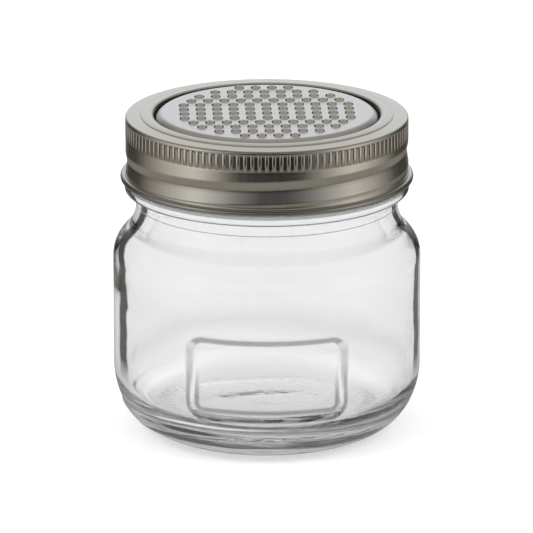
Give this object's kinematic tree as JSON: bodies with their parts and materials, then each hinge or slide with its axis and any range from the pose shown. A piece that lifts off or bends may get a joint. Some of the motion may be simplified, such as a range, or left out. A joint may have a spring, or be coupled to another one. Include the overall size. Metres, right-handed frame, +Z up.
{
  "type": "storage jar with grater lid",
  "caption": "Small round glass storage jar with a sunk front panel, closed by a rolled metal screw band that holds a raised steel grater disc.",
  "frame": {"origin": "centre of the base on the resting plane", "axes": "+Z up along the jar and lid axis, -Y towards the front label panel, +X to the right of the panel"},
  "size_m": [0.0786, 0.0786, 0.0839],
  "materials": {
    "glass": "clear moulded soda-lime glass with a faint green tint in the thick heel",
    "seal": "soft matt silicone",
    "grater": "satin stainless sheet with raised arched teeth",
    "band": "satin tinned steel with a fine knurl below the top edge"
  },
  "bodies": {
    "jar": {"glass_jar": "glass"},
    "grater": {"grater_disc": "grater", "sealing_ring": "seal"},
    "band": {"screw_band": "band"}
  },
  "joints": [
    {"name": "lid_lift", "type": "slide", "parent": "jar", "child": "grater", "axis": [0, 0, 1], "range_m": [0, 0.01693]},
    {"name": "band_turn", "type": "hinge", "parent": "grater", "child": "band", "pos_m": [0, 0, 0.0741], "axis": [0, 0, 1], "range_deg": [0, 1440]}
  ],
  "couplings": [
    {"joint": "lid_lift", "follows": "band_turn", "m_per_rad": 0.00067323}
  ]
}
